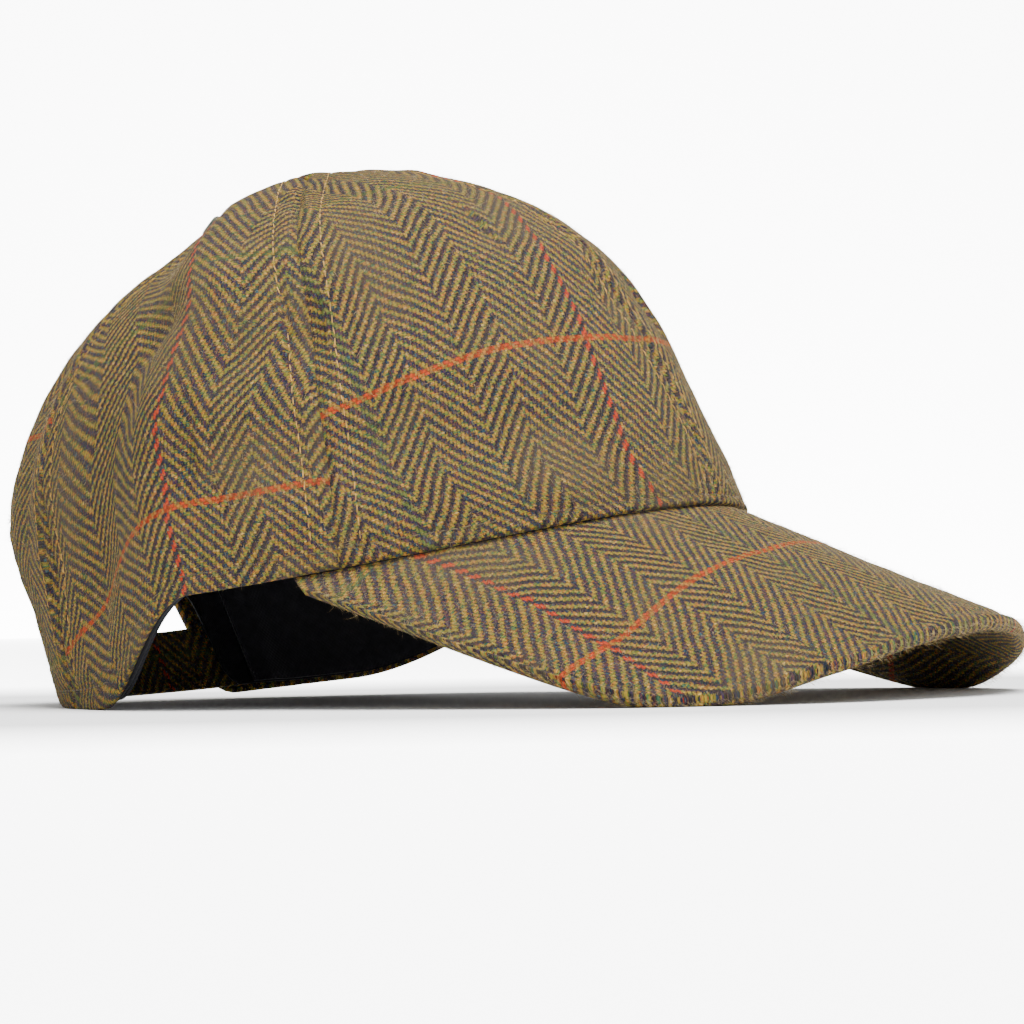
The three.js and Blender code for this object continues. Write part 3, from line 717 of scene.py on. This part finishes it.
def edge_point(place):
    """The peak's outer edge, at places from -1 to 1 round it."""
    way = np.abs(place)
    side = np.where(place < 0, 1, -1)
    return np.stack([
        side * spline(EDGE_X, way, before=-EDGE_X[1]),
        spline(EDGE_Y, way, before=EDGE_Y[1]),
        spline(EDGE_Z, way, before=EDGE_Z[1]),
    ], -1)


def peak_frame(place):
    """Seat, run to the edge, up and thickness of the peak's section at each place."""
    angle = place * np.radians(PEAK_HALF_ANGLE)
    seat = crown(angle, np.ones_like(angle), np.full_like(angle, 1.3))
    rim = plain(angle, np.ones_like(angle))
    seat[..., 2] = np.minimum(seat[..., 2], rim[..., 2]) - 0.1
    edge = edge_point(place)
    sideways = edge_point(place + 0.004) - edge_point(place - 0.004)
    up = unit(np.cross(edge - seat, sideways))
    up = up * np.where(up[..., 2:] < 0, -1, 1)
    full = np.clip(np.linalg.norm(edge - seat, axis=-1) / (5 * PEAK_THICK), 0, 1)
    thick = PEAK_THICK * (0.3 + 0.7 * np.sqrt(full))
    run = edge + up * thick[..., None] - seat
    return seat, run, up, thick


def peak_uv(p):
    """The cloth's measure on the peak, from the courses of its red and orange lines."""
    x, y = p[..., 0], p[..., 1]
    red = -78.3 - 0.127 * y - 0.00183 * y * y
    orange = -125.0 - 0.04 * x + 0.0026 * x * x
    return np.stack([(x - red) * 1.04, (orange - y) * 1.06], -1)


def peak_pieces(material):
    places = 0.985 * np.sin(np.linspace(-0.5, 0.5, 260) * np.pi)
    seat, run, up, thick = peak_frame(places)
    length = np.linalg.norm(run, axis=-1)
    ahead = run / length[:, None]
    half = thick / 2
    rings, uvs = [], []

    def ring(along, lift, under=0.0):
        p = seat + ahead * along[:, None] + up * (lift - thick)[:, None]
        rings.append(p)
        uv = peak_uv(p)
        uv[:, 1] += under
        uvs.append(uv)

    def uneven(along, top):
        p = seat + ahead * along[:, None]
        inner = smooth(along, 0, 6) * smooth(length - along, 0, 5)
        h = (0.35 * waves(p, 38.0, 21) + 0.12 * waves(p, 9.0, 22)) * inner
        h = h - 0.28 * bell(length - along, 5.0, 1.3) * smooth(length, 8, 20)
        return h * (1.0 if top else -0.6)

    flat = np.maximum(length - half, 0.6 * length)
    for share in np.linspace(0, 1, 74):
        ring(share * flat, thick + uneven(share * flat, True))
    for turn in np.radians(np.linspace(15, 165, 9)):
        ring(flat + (length - flat) * np.sin(turn), half * (1 + np.cos(turn)))
    for share in np.linspace(1, 0, 50):
        ring(share * flat, uneven(share * flat, False))
    n = len(places)
    faces = grid_faces(len(rings), n)
    ends = []
    count = len(rings)
    for j in range(count // 2):
        k = count - 1 - j
        if k - 1 > j + 1:
            ends.append((j * n, (j + 1) * n, (k - 1) * n, k * n))
            ends.append((j * n + n - 1, k * n + n - 1, (k - 1) * n + n - 1, (j + 1) * n + n - 1))
    faces = np.concatenate([faces, np.array(ends)])
    obj = mesh_piece("peak_tweed", np.concatenate(rings), faces, material, np.concatenate(uvs))
    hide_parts("peak")
    return obj


# Lining, band and strap

# The lining keeps further from the arch's edge on the wearer's right, because the photograph shows
# only tweed there. STRAP_STEP is how much deeper it runs behind the strap's ends.
LINING_TURN_RIGHT = 9.0
LINING_CLOTH, STRAP_STEP = 0.9, 2.7


def lining_depth(angle, drop):
    from_end = (np.pi - np.abs(angle)) * BACK_RADIUS - STRAP_REACH
    over = (STRAP_TOP - drop) * CLOTH_LENGTH
    beside = 1 - smooth(from_end, EASE_START, EASE_END)
    below = 1 - smooth(over, EASE_START, EASE_END)
    return CLOTH + GAP + STRAP_STEP * beside * below


def lining_foot(angle):
    """The lining's lower edge as a drop, at angles from -pi to pi."""
    turn = np.where(angle > 0, LINING_TURN_RIGHT, ARCH_TURN)
    return 1 - np.maximum(arch_up(angle, turn), RIM_TURN) / CLOTH_LENGTH


def lining_piece(material):
    corner = np.pi - (ARCH_HALF_WIDTH + ARCH_TURN) / BACK_RADIUS
    half = np.concatenate([
        np.linspace(0, corner - 0.12, 110),
        corner + 0.01 * np.linspace(-11, 3, 40),
        np.linspace(corner + 0.04, np.pi, 26),
    ])
    around = np.concatenate([half, -half[1:-1][::-1]])
    cols = len(around)
    foot = lining_foot(around)
    points, uvs = [], []
    layers = [(r, 0.0) for r in np.linspace(0.02, 1, 60)]
    layers += [(r, LINING_CLOTH) for r in (1.0, *np.linspace(0.995, 0.02, 70))]
    for r, depth in layers:
        drop = foot * r
        crease = 0.35 * waves(plain(around, drop), 26.0, 31) - 0.3 * bell(seam_distance(around, drop), 0, 1.2)
        points.append(crown(around, drop, lining_depth(around, drop) + depth + 0.35 + crease))
        uvs.append(np.stack([look_up(ROUND, around, drop), look_up(DOWN, around, drop)], -1))
    faces = grid_faces(len(layers), cols, closed=True)
    obj = mesh_piece("lining_cloth", np.concatenate(points), faces, material, np.concatenate(uvs))
    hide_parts("lining")
    return obj


def strip_piece(name, angles, top, bottom, depth, thick, material, uv_of, rows=9, wave=0.15):
    """A cloth band along the crown between two drops, with rounded edges and ends."""
    layers = [(k, -0.15 * np.sin(np.pi * k)) for k in np.linspace(0, 1, rows)]
    layers += [(1.0, thick * 0.5), (1.0, thick)]
    layers += [(k, thick) for k in np.linspace(1, 0, rows)]
    layers += [(0.0, thick * 0.5)]
    points, uvs = [], []
    for k, deep in layers:
        drop = np.full_like(angles, top + (bottom - top) * k)
        swell = wave * waves(np.stack([angles * BACK_RADIUS, drop * 100, drop * 0], -1), 22.0, 41)
        points.append(crown(angles, drop, depth + deep - swell))
        uvs.append(uv_of(angles, drop, deep))
    cols = len(angles)
    count = len(layers)
    first, last = np.arange(cols), np.arange(cols) + (count - 1) * cols
    wrap = np.stack([last[:-1], last[1:], first[1:], first[:-1]], -1)[:, ::-1]
    ends = [[i * cols for i in range(count)], [i * cols + cols - 1 for i in range(count)][::-1]]
    faces = [*grid_faces(count, cols).tolist(), *wrap.tolist(), *ends]
    return mesh_piece(name, np.concatenate(points), faces, material, np.concatenate(uvs))


def band_uv(angles, drop, deep):
    return np.stack([angles * BACK_RADIUS, drop * CLOTH_LENGTH + deep], -1)


def strap_uv(angles, drop, deep):
    """The strap is cut across the cloth, so that a red warp line crosses it on the wearer's left."""
    return np.stack([angles * BACK_RADIUS - 307.4, drop * CLOTH_LENGTH + 41.0], -1)


# Stitches: short tapered threads that dip into the cloth at both ends

STITCH_RADIUS = 0.17
STITCH_PITCH, STITCH_LENGTH, STITCH_JITTER = 3.3, 2.5, 0.12


def tubes(name, starts, ends, normals, radius, material, lift=0.28, sides=5):
    shares = np.array([0, 0.18, 0.5, 0.82, 1.0])
    height = np.array([-0.35, 0.6, 1.0, 0.6, -0.35])
    widths = np.array([0.35, 0.9, 1.0, 0.9, 0.35])
    along = unit(ends - starts)
    across = unit(np.cross(normals, along))
    turn = np.linspace(0, 2 * np.pi, sides, endpoint=False)
    c, s = np.cos(turn), np.sin(turn)
    centre = starts[:, None] + (ends - starts)[:, None] * shares[None, :, None]
    centre = centre + normals[:, None] * (height * lift)[None, :, None]
    ring = across[:, None, None] * c[None, None, :, None]
    ring = ring + normals[:, None, None] * s[None, None, :, None] * 0.8
    p = centre[:, :, None] + ring * (widths * radius)[None, :, None, None]
    n, k = len(starts), len(shares)
    base = grid_faces(k, sides, closed=True)
    faces = (base[None] + (np.arange(n) * k * sides)[:, None, None]).reshape(-1, 4)
    return mesh_piece(name, p.reshape(-1, 3), faces, material)


def stitch_row(line, normal):
    """Starts, ends and normals of stitches along a line of points."""
    step = np.linalg.norm(np.diff(line, axis=0), axis=1)
    s = np.concatenate([[0], np.cumsum(step)])
    count = int(s[-1] // STITCH_PITCH)
    at = (np.arange(count) + 0.3) * STITCH_PITCH + rng.normal(0, STITCH_JITTER, count)

    def pick(q, v):
        return np.stack([np.interp(q, s, v[:, k]) for k in range(3)], -1)

    a, b = pick(at, line), pick(at + STITCH_LENGTH, line)
    side = unit(np.cross(pick(at, normal), b - a)) * rng.normal(0, STITCH_JITTER, count)[:, None]
    return a - side, b + side, unit(pick(at + STITCH_LENGTH / 2, normal))


def crown_line(angle, drop):
    return cloth(angle, drop), plain_normal(angle, drop)


def stitches(name, rows, material):
    merged = [np.concatenate(x) for x in zip(*rows)]
    tubes(name, *merged, STITCH_RADIUS, material)


def seam_stitches(material):
    """On both sides of each seam, down to the rim or to the arch."""
    parts = []
    drops = np.linspace(0.045, 0.965, 240)
    for top, rim in ALL_SEAMS:
        for side in (-1, 1):
            seam = np.radians(top + (rim - top) * drops)
            angle = seam + side * STITCH_OFF / np.maximum(radius_at(seam, drops), 1)
            keep = np.ones(len(drops), bool)
            if abs(top) == 180:
                keep = drops < 1 - (ARCH_HEIGHT + 6) / CLOTH_LENGTH
            keep &= radius_at(seam, drops) > STITCH_OFF * 1.9
            parts.append(stitch_row(*crown_line(angle[keep], drops[keep])))
    stitches("crown_stitches", parts, material)


def hem_stitches(material):
    """Along the rim, and round the arch."""
    limit = np.pi - (ARCH_HALF_WIDTH + ARCH_CORNER) / BACK_RADIUS
    angle = np.linspace(-limit, limit, 700)
    rim = stitch_row(*crown_line(angle, np.full_like(angle, 1 - HEM_OFF / CLOTH_LENGTH)))
    across, up = arch_edge(np.linspace(0.08, 1, 130), HEM_OFF)
    angle = np.pi + np.concatenate([-across, across[::-1]]) / BACK_RADIUS
    drop = 1 - np.concatenate([up, up[::-1]]) / CLOTH_LENGTH
    stitches("hem_stitches", [rim, stitch_row(*crown_line(angle, drop))], material)


# Fuzz: fine wool ends that stand off the cloth

CROWN_ENDS, PEAK_ENDS = 30000, 20000
FUZZ_LENGTH, FUZZ_WIDTH, FUZZ_DROOP = 1.15, 0.06, 0.15


def fuzz_piece(name, roots, normals, tangents, material):
    n = len(roots)
    lean = unit(normals * rng.uniform(0.25, 1.0, (n, 1)) + unit(tangents) * rng.normal(0, 0.9, (n, 1))
                + np.cross(normals, unit(tangents)) * rng.normal(0, 0.9, (n, 1)))
    curl = unit(rng.normal(size=(n, 3)))
    size = rng.gamma(3.0, FUZZ_LENGTH / 3.0, (n, 1))
    side = unit(np.cross(lean, rng.normal(size=(n, 3)))) * FUZZ_WIDTH / 2
    rows = []
    for t, w in ((0.0, 1.0), (0.4, 0.9), (0.75, 0.6), (1.0, 0.15)):
        mid = roots + lean * size * t + (curl * 0.5 - normals * FUZZ_DROOP) * size * t * t
        rows.append(mid - side * w)
        rows.append(mid + side * w)
    p = np.stack(rows, 1)
    base = np.array([(0, 1, 3, 2), (2, 3, 5, 4), (4, 5, 7, 6)])
    faces = (base[None] + (np.arange(n) * 8)[:, None, None]).reshape(-1, 4)
    mesh_piece(name, p.reshape(-1, 3), faces, material)


def crown_fuzz(count, material):
    drop = rng.uniform(0.05, 1, count) ** 0.62
    angle = rng.uniform(-np.pi, np.pi, count)
    keep = (1 - drop) * CLOTH_LENGTH > arch_up(angle) + 0.3
    angle, drop = angle[keep], drop[keep]
    roots = cloth(angle, drop)
    normals = plain_normal(angle, drop)
    tangents = cloth(angle, np.minimum(drop + 0.004, 1)) - roots
    fuzz_piece("crown_fuzz", roots, normals, tangents, material)


def peak_fuzz(count, material):
    place = np.sign(rng.uniform(-1, 1, count)) * rng.uniform(0, 0.97, count)
    seat, run, up, thick = peak_frame(place)
    top = rng.uniform(0, 1, count) < 0.7
    edge = rng.uniform(0, 1, count) < 0.22
    share = np.where(edge, 1.0, rng.uniform(0.01, 0.985, count))
    lift = np.where(edge, -thick * rng.uniform(0.1, 0.9, count), np.where(top, 0.0, -thick))
    roots = seat + run * share[:, None] + up * lift[:, None]
    normals = np.where(edge[:, None], unit(run), up * np.where(top, 1, -1)[:, None])
    fuzz_piece("peak_fuzz", roots, normals, run, material)


# Button and eyelets

# The button's radius and height from its underside to its top
BUTTON_PROFILE = [
    (5.2, -0.2), (6.0, 0.0), (6.45, 0.45), (6.5, 0.9), (6.2, 1.5),
    (5.5, 2.05), (4.4, 2.5), (3.0, 2.82), (1.5, 3.0), (0.3, 3.05),
]
# An eyelet's angle and how far down it is, the radii of its ring, and its stitches
EYELET_ANGLE, EYELET_DOWN = 116.0, 38.0
EYELET_INNER, EYELET_MIDDLE, EYELET_OUTER, EYELET_STITCHES = 1.5, 2.9, 3.6, 46


def button_piece(material):
    seat = max(plain(np.linspace(0, 2 * np.pi, 16), TOP_DROP * 6.5 / 3.4)[:, 2]) + 0.1
    centre = plain(0.0, 0.0)
    turn = np.linspace(0, 2 * np.pi, 49)[:-1]
    points, uvs = [], []
    for r, h in BUTTON_PROFILE:
        x, y = r * np.cos(turn), r * np.sin(turn)
        points.append(np.stack([x, centre[1] + y, np.full_like(x, seat + h)], -1))
        uvs.append(np.stack([x + 22, y + 15], -1))
    faces = grid_faces(len(BUTTON_PROFILE), len(turn), closed=True)[:, ::-1]
    cap = (len(BUTTON_PROFILE) - 1) * len(turn) + np.arange(len(turn))
    faces = [*faces.tolist(), cap.tolist(), np.arange(len(turn))[::-1].tolist()]
    obj = mesh_piece("button_tweed", np.concatenate(points), faces, material, np.concatenate(uvs))
    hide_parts("button")


def eyelet_piece(side, material, dark):
    """A ring of stitches round a near-black disc of painted shade, where the eyelet opens."""
    angle, drop = side * np.radians(EYELET_ANGLE), EYELET_DOWN / CLOTH_LENGTH
    centre = cloth(np.array([angle]), np.array([drop]))[0]
    turn = EYELET_MIDDLE / (HALF_WIDTH * spline(SECTIONS[:, 1], drop))
    step = EYELET_MIDDLE / CLOTH_LENGTH

    def surface(a, d):
        return crown(np.array([a]), np.array([d]))[0]

    around = surface(angle + turn, drop) - surface(angle - turn, drop)
    down = surface(angle, drop + step) - surface(angle, drop - step)
    out = unit(np.cross(around, down))
    e1 = unit(around)
    e2 = np.cross(out, e1)
    name = f"eyelet_{side_word(side)}"
    count = EYELET_STITCHES
    phi = np.arange(count) / count * 2 * np.pi
    radial = e1 * np.cos(phi)[:, None] + e2 * np.sin(phi)[:, None]
    starts = centre + radial * EYELET_INNER + out * 0.15
    ends = centre + radial * (EYELET_OUTER + rng.normal(0, 0.12, count))[:, None] + out * 0.15
    normals = np.tile(out, (count, 1))
    obj = tubes(f"{name}_thread", starts, ends, normals, 0.27, material, lift=1.0, sides=6)
    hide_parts(name)
    # painted shade: a near-black disc sunk a little inside the ring, where the eyelet opens
    ring = centre + radial * (EYELET_INNER + 0.05) + out * 0.12
    hub = centre + out * -0.1
    faces = [(i, (i + 1) % count, count) for i in range(count)]
    hole_shade = mesh_piece(f"{name}_hole", np.concatenate([ring, hub[None]]), np.array(faces), dark)


# Make the cap

tweed_mat = tweed("tweed")
lining_mat = plain_cloth("lining", (14, 14, 18))
band_mat = plain_cloth("band", (18, 18, 22), pitch=1.6, roughness=0.7)
stitch_mat = thread("stitch_thread", (172, 132, 62))
hem_mat = thread("hem_thread", (84, 72, 46))
fuzz_mat = thread("wool_ends", (150, 130, 92), 0.3)
eyelet_mat = thread("eyelet_thread", (62, 72, 60))
# painted shade for the middle of each eyelet
hole_shade_mat = plain_cloth("hole_shade", (6, 6, 8))

for panel_word in PANELS:
    for panel_side in (1, -1):
        panel_piece(panel_word, panel_side, tweed_mat)
peak_pieces(tweed_mat)
lining_piece(lining_mat)

band_end = np.pi - (ARCH_HALF_WIDTH + ARCH_CORNER + ARCH_TURN) / BACK_RADIUS
band_angles = np.linspace(-band_end, band_end, 260)
band_deep = lining_depth(band_angles, np.full_like(band_angles, 0.95)) + 1.6
band_top = 1 - (RIM_TURN + BAND_HEIGHT) / CLOTH_LENGTH
band_bottom = 1 - (RIM_TURN + 0.4) / CLOTH_LENGTH
band = strip_piece("sweatband_tape", band_angles, band_top, band_bottom, band_deep, BAND_THICK,
                   band_mat, band_uv, rows=12, wave=0.25)
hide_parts("sweatband")

strap_angles = np.pi + np.linspace(-STRAP_REACH, STRAP_REACH, 130) / BACK_RADIUS
strap = strip_piece("strap_tweed", strap_angles, STRAP_TOP, STRAP_BOTTOM, STRAP_DEPTH, STRAP_CLOTH,
                    tweed_mat, strap_uv)
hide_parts("strap")
tab_angles = np.pi + np.linspace(TAB_END - TAB_LENGTH, TAB_END, 70) / BACK_RADIUS
inset = (STRAP_WIDTH - TAB_WIDTH) / 2 / CLOTH_LENGTH
tab = strip_piece("strap_tab_tweed", tab_angles, STRAP_TOP + inset, STRAP_BOTTOM - inset, 0.2, TAB_CLOTH,
                  tweed_mat, strap_uv)
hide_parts("strap_tab")

button_piece(tweed_mat)
for panel_side in (1, -1):
    eyelet_piece(panel_side, eyelet_mat, hole_shade_mat)
seam_stitches(stitch_mat)
hem_stitches(hem_mat)
crown_fuzz(CROWN_ENDS, fuzz_mat)
peak_fuzz(PEAK_ENDS, fuzz_mat)

# Camera: where the photograph's was, about 24 mm above the floor. Its axes are its right, its up and
# its back, and its focal length is in pixels of a picture 1024 wide.
CAMERA_AT = (-986.80, -485.88, 23.78)
CAMERA_AXES = (
    (0.437505, -0.898998, -0.019786),
    (-0.012199, -0.027936, 0.999535),
    (-0.899133, -0.437060, -0.023189),
)
FOCAL, PICTURE, SENSOR = 4178.07, 1024, 36.0
camera_data = bpy.data.cameras.new("camera")
camera_data.sensor_width = SENSOR
camera_data.lens = FOCAL / PICTURE * SENSOR
camera_data.clip_start = 0.05
camera_data.clip_end = 50.0
camera = bpy.data.objects.new("camera", camera_data)
axes = Matrix(CAMERA_AXES).transposed().to_4x4()
camera.matrix_world = Matrix.Translation([c / 1000 for c in CAMERA_AT]) @ axes
bpy.context.scene.collection.objects.link(camera)
bpy.context.scene.camera = camera


# Stage: a pale floor and a bright backdrop. The floor glows white where only it is in the picture,
# and stays plain round the cap, so that the cap's own shadow falls on it.

# The camera's direction over the floor, and lengths in metres
VIEW = (0.8993, 0.4372)
FLOOR_REACH, BACKDROP_AWAY, BACKDROP_HALF, BACKDROP_HIGH = 6.0, 4.0, 1.3, 1.4
FLOOR_GLOW, BACKDROP_GLOW = 6.0, 8.0


def stage_mesh(name, points, material):
    me = bpy.data.meshes.new(name)
    me.from_pydata(points, [], [(0, 1, 2, 3)])
    me.materials.append(material)
    obj = bpy.data.objects.new(name, me)
    bpy.context.scene.collection.objects.link(obj)


def stage_material(name, glow=None):
    s = Shader(name, roughness=1.0, specular=0.0)
    s.bsdf.inputs["Base Color"].default_value = (0.94, 0.94, 0.94, 1.0)
    s.bsdf.inputs["Emission Color"].default_value = (1.0, 1.0, 1.0, 1.0)
    if glow:
        s.bsdf.inputs["Emission Strength"].default_value = glow
        return s.mat
    split = s.nodes.new("ShaderNodeSeparateXYZ")
    s.links.new(s.object_coords(), split.inputs[0])
    x, y = Val(s.tree, split.outputs[0]), Val(s.tree, split.outputs[1])
    away = x * VIEW[0] + y * VIEW[1]
    aside = (x * VIEW[1] - y * VIEW[0]).abs()
    clear_of_cap = ((away.abs() - 0.17) * 5.0).clip(0.0, 1.0)
    in_picture = ((away.max(0.0) * 0.14 + 0.24 - aside) * 12.0).clip(0.0, 1.0)
    glowing = clear_of_cap * in_picture * FLOOR_GLOW
    s.links.new(glowing.value, s.bsdf.inputs["Emission Strength"])
    return s.mat


CORNERS = ((-1, -1), (1, -1), (1, 1), (-1, 1))
ground = [(x * FLOOR_REACH, y * FLOOR_REACH, 0) for x, y in CORNERS]
stage_mesh("floor", ground, stage_material("floor"))
behind = [
    (
        VIEW[0] * BACKDROP_AWAY + side * BACKDROP_HALF * VIEW[1],
        VIEW[1] * BACKDROP_AWAY - side * BACKDROP_HALF * VIEW[0],
        max(high, 0) * BACKDROP_HIGH,
    )
    for side, high in CORNERS
]
stage_mesh("backdrop", behind, stage_material("backdrop", BACKDROP_GLOW))

world = bpy.data.worlds.new("studio")
world.use_nodes = True
background = world.node_tree.nodes["Background"]
background.inputs["Color"].default_value = (1.0, 1.0, 1.0, 1.0)
background.inputs["Strength"].default_value = 0.57
bpy.context.scene.world = world


def area_light(name, at, size, power):
    """A round light that points at the origin."""
    data = bpy.data.lights.new(name, "AREA")
    data.shape = "DISK"
    data.size = size
    data.energy = power
    obj = bpy.data.objects.new(name, data)
    obj.location = at
    obj.rotation_euler = (-Vector(at)).to_track_quat("-Z", "Y").to_euler()
    bpy.context.scene.collection.objects.link(obj)


area_light("above", (-0.1, -0.2, 1.4), 1.1, 50.0)
area_light("front", (-0.9, -1.2, 0.7), 0.9, 4.0)
